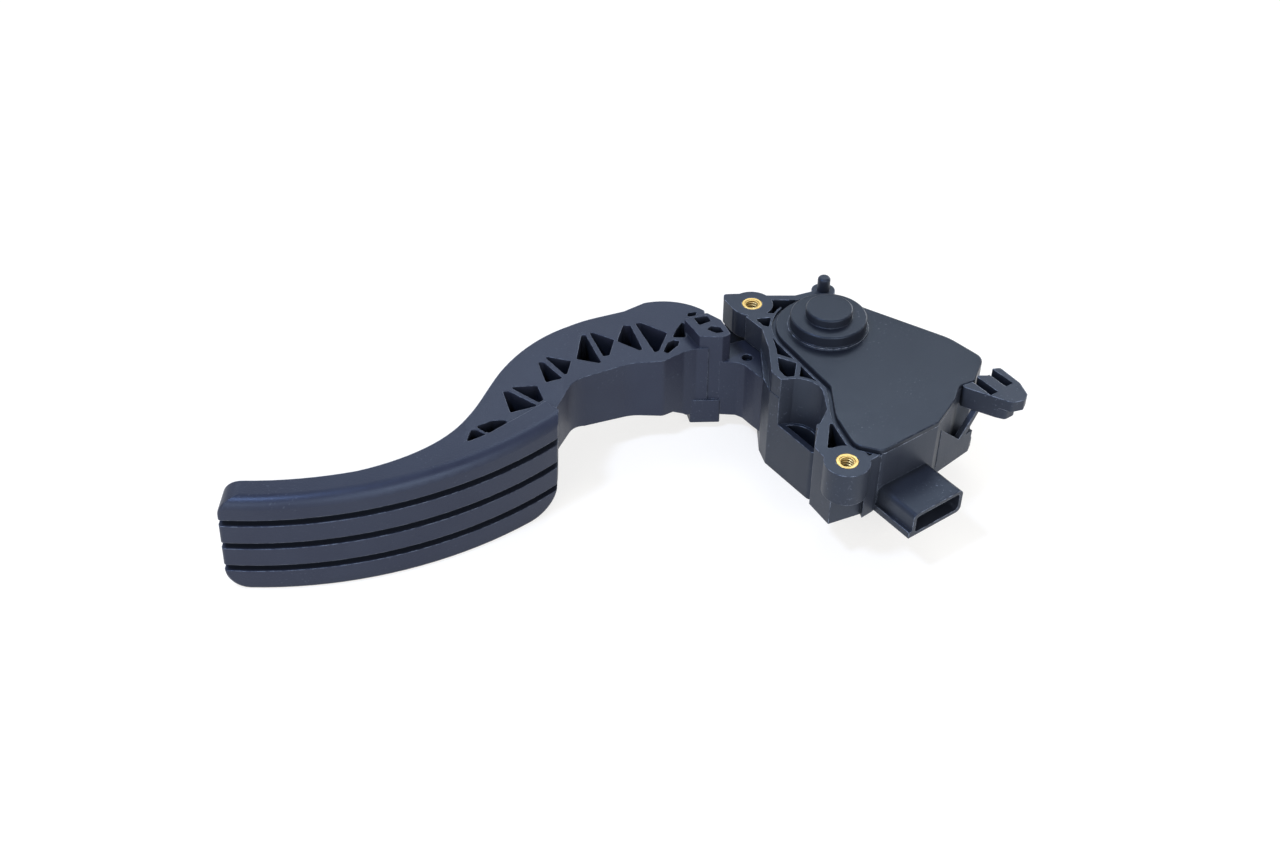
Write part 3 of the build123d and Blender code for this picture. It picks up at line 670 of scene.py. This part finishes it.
@dataclass
class CoilSpring:
    """One return spring, which is pressed together between the base and the arm's saddle."""

    name: str
    node: str
    coil: float
    wire: float
    turns: int
    steps: int = 28
    wire_sides: int = 14
    pin_length: float = 2.5 * MM
    sharp_angle: float = 50.0
    finish: MetalFinish = DRAWN_STEEL

    def wind(self, foot: Vector, length: float) -> bmesh.types.BMesh:
        """Winds the wire along +Y.

        Args:
            foot: lower end of the spring's axis.
            length: length of the spring with the pedal released.

        Returns:
            The wound wire, closed at both ends.
        """
        wound = bmesh.new()
        ring = bmesh.ops.create_circle(wound, segments=self.wire_sides, radius=self.wire / 2)
        first = foot + Vector((self.coil, self.wire / 2, 0.0))
        bmesh.ops.translate(wound, verts=ring["verts"], vec=first)
        count = self.steps * self.turns
        bmesh.ops.spin(
            wound, geom=wound.verts[:] + wound.edges[:], cent=foot, axis=(0.0, 1.0, 0.0),
            dvec=(0.0, (length - self.wire) / count, 0.0), angle=FULL_TURN * self.turns,
            steps=count,
        )
        ends = [edge for edge in wound.edges if edge.is_boundary]
        bmesh.ops.holes_fill(wound, edges=ends, sides=self.wire_sides)
        bmesh.ops.recalc_face_normals(wound, faces=wound.faces[:])
        return wound

    def build(self) -> bpy.types.Object:
        """Winds the spring where its node stood and hides the node.

        Returns:
            The piece, with its placement baked into its mesh.
        """
        low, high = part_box(self.node)
        length = high.y - low.y
        foot = Vector(((low.x + high.x) / 2, low.y, (low.z + high.z) / 2))
        piece = smooth_piece(self.name, self.wind(foot, length), self.sharp_angle, self.finish)
        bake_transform(piece)
        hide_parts(self.node)
        return piece


@dataclass
class SoftLight:
    """One soft box of the studio."""

    name: str
    place: Colour
    target: Colour
    size: float
    power: float
    colour: Colour

    def build(self) -> None:
        """Hangs the light."""
        data = bpy.data.lights.new(self.name, "AREA")
        data.shape = "SQUARE"
        data.size = self.size
        data.energy = self.power
        data.color = self.colour
        light = bpy.data.objects.new(self.name, data)
        light.location = self.place
        aim = Vector(self.target) - Vector(self.place)
        light.rotation_euler = aim.to_track_quat("-Z", "Y").to_euler()
        bpy.context.scene.collection.objects.link(light)


def soft_lights() -> list[SoftLight]:
    """Lists the studio's soft boxes.

    Returns:
        The lights, the brightest on the tops first.
    """
    return [
        SoftLight(
            "key_box", place=(0.10, 0.66, 0.98), target=(0.0, -0.03, 0.0),
            size=0.5, power=4.5, colour=(0.9, 0.95, 1.0),
        ),
        SoftLight(
            "pad_box", place=(-0.50, -0.32, 0.95), target=(-0.24, -0.10, 0.0),
            size=0.14, power=6.5, colour=(0.50, 0.64, 1.0),
        ),
        SoftLight(
            "front_box", place=(0.40, -1.05, 0.40), target=(-0.05, -0.05, 0.0),
            size=0.9, power=12.0, colour=(0.94, 0.96, 1.0),
        ),
        SoftLight(
            "left_box", place=(-0.65, -1.0, 0.40), target=(-0.05, -0.05, 0.0),
            size=0.7, power=5.0, colour=(0.94, 0.96, 1.0),
        ),
        SoftLight(
            "back_box", place=(-0.55, 1.0, 0.42), target=(-0.10, 0.0, 0.0),
            size=0.8, power=3.0, colour=(0.9, 0.95, 1.0),
        ),
        SoftLight(
            "rim_box", place=(0.62, 0.88, 0.30), target=(0.02, 0.0, 0.05),
            size=0.35, power=3.8, colour=(0.95, 0.97, 1.0),
        ),
    ]


@dataclass
class Studio:
    """Pale floor, soft light and the camera at the photograph's angle."""

    camera_place: Colour = (-0.0804, -0.5193, 0.4316)
    camera_pitch: float = 50.0
    lens: float = 42.19
    sensor: float = 36.0
    near_clip: float = 10.0 * MM
    floor_half: float = 0.85
    floor_drop: float = 0.2 * MM
    floor_colour: Colour = (0.36, 0.33, 0.29)
    floor_roughness: float = 0.85
    floor_specular: float = 0.1
    floor_glow: float = 0.70
    sky_colour: Colour = (0.74, 0.85, 1.0)
    sky_strength: float = 0.42
    wall_colour: Colour = (0.97, 0.98, 1.0)
    lights: list[SoftLight] = field(default_factory=soft_lights)

    def floor(self) -> None:
        """Lays the floor just under the part."""
        mesh = bmesh.new()
        bmesh.ops.create_grid(mesh, x_segments=1, y_segments=1, size=self.floor_half)
        bmesh.ops.translate(mesh, verts=mesh.verts[:], vec=(0.0, 0.0, -self.floor_drop))
        data = bpy.data.meshes.new("studio_floor")
        mesh.to_mesh(data)
        mesh.free()
        sheet = NodeSheet("pale_floor")
        sheet.set(
            base_color=self.floor_colour, roughness=self.floor_roughness,
            specular_ior_level=self.floor_specular,
            emission_color=WHITE, emission_strength=self.floor_glow,
        )
        data.materials.append(sheet.material)
        floor = bpy.data.objects.new("studio_floor", data)
        floor.visible_diffuse = False
        bpy.context.scene.collection.objects.link(floor)

    def sky(self) -> None:
        """Fills the room with cool even light in front of a plain white wall."""
        world = bpy.data.worlds.new("studio_sky")
        world.use_nodes = True
        tree = world.node_tree
        light = tree.nodes["Background"]
        light.inputs["Color"].default_value = (*self.sky_colour, 1.0)
        light.inputs["Strength"].default_value = self.sky_strength
        wall = tree.nodes.new("ShaderNodeBackground")
        wall.inputs["Color"].default_value = (*self.wall_colour, 1.0)
        path = tree.nodes.new("ShaderNodeLightPath")
        mix = tree.nodes.new("ShaderNodeMixShader")
        tree.links.new(path.outputs["Is Camera Ray"], mix.inputs[0])
        tree.links.new(light.outputs["Background"], mix.inputs[1])
        tree.links.new(wall.outputs["Background"], mix.inputs[2])
        tree.links.new(mix.outputs["Shader"], tree.nodes["World Output"].inputs["Surface"])
        bpy.context.scene.world = world

    def camera(self) -> None:
        """Sets up the camera."""
        data = bpy.data.cameras.new("studio_camera")
        data.lens = self.lens
        data.sensor_width = self.sensor
        data.clip_start = self.near_clip
        camera = bpy.data.objects.new("studio_camera", data)
        camera.location = self.camera_place
        camera.rotation_euler = (math.radians(self.camera_pitch), 0.0, 0.0)
        bpy.context.scene.collection.objects.link(camera)
        bpy.context.scene.camera = camera

    def build(self) -> None:
        """Makes the whole studio."""
        self.floor()
        self.sky()
        for light in self.lights:
            light.build()
        self.camera()
        bpy.context.scene.view_settings.view_transform = "Standard"
        LOG.info("studio: %d soft boxes", len(self.lights))


def sub_assemblies() -> list[SubAssembly]:
    """Lists the groups of CAD nodes and their finishes.

    Returns:
        The groups, from the housing to the arm.
    """
    return [
        SubAssembly("housing", {
            "housing": HOUSING_PLASTIC, "sensor_cover": COVER_PLASTIC, "cover_seal": SOFT_RUBBER,
        }),
        SubAssembly("connector", {
            "terminal_carrier": CARRIER_PLASTIC, "terminal_pins": TINNED_CONTACT,
        }),
        SubAssembly("sensor", {
            "sensor_board": BOARD_MASK, "hall_chips": CARRIER_PLASTIC,
            "magnet_rotor": INNER_PLASTIC, "ring_magnet": DARK_FERRITE,
        }),
        SubAssembly("pivot", {
            "pivot_shaft": GROUND_STEEL, "shaft_clip": DRAWN_STEEL,
            "lower_bush": SINTERED_BRONZE, "upper_bush": SINTERED_BRONZE,
        }),
        SubAssembly("springs", {
            "spring_seat": INNER_PLASTIC, "friction_shoe": SHOE_PLASTIC,
            "idle_bumper": SOFT_RUBBER,
        }),
        SubAssembly("arm", {"pedal_arm": ARM_PLASTIC}),
    ]


def return_springs() -> list[CoilSpring]:
    """Lists the two nested springs.

    Returns:
        The springs, the outer one first.
    """
    return [
        CoilSpring("outer_coil", "outer_return_spring", coil=8.2 * MM, wire=1.8 * MM, turns=6),
        CoilSpring("inner_coil", "inner_return_spring", coil=4.8 * MM, wire=1.4 * MM, turns=8),
    ]


def main() -> None:
    """Dresses the part, adds its fine pieces and sets up the studio."""
    logging.basicConfig(level=logging.INFO, format="%(name)s: %(message)s")
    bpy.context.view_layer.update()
    for group in sub_assemblies():
        group.dress()
    for maker in (TappedInserts(), *return_springs()):
        piece = maker.build()
        LOG.info("added %s with %d faces", piece.name, len(piece.data.polygons))
    Studio().build()


if __name__ == "__main__":
    main()
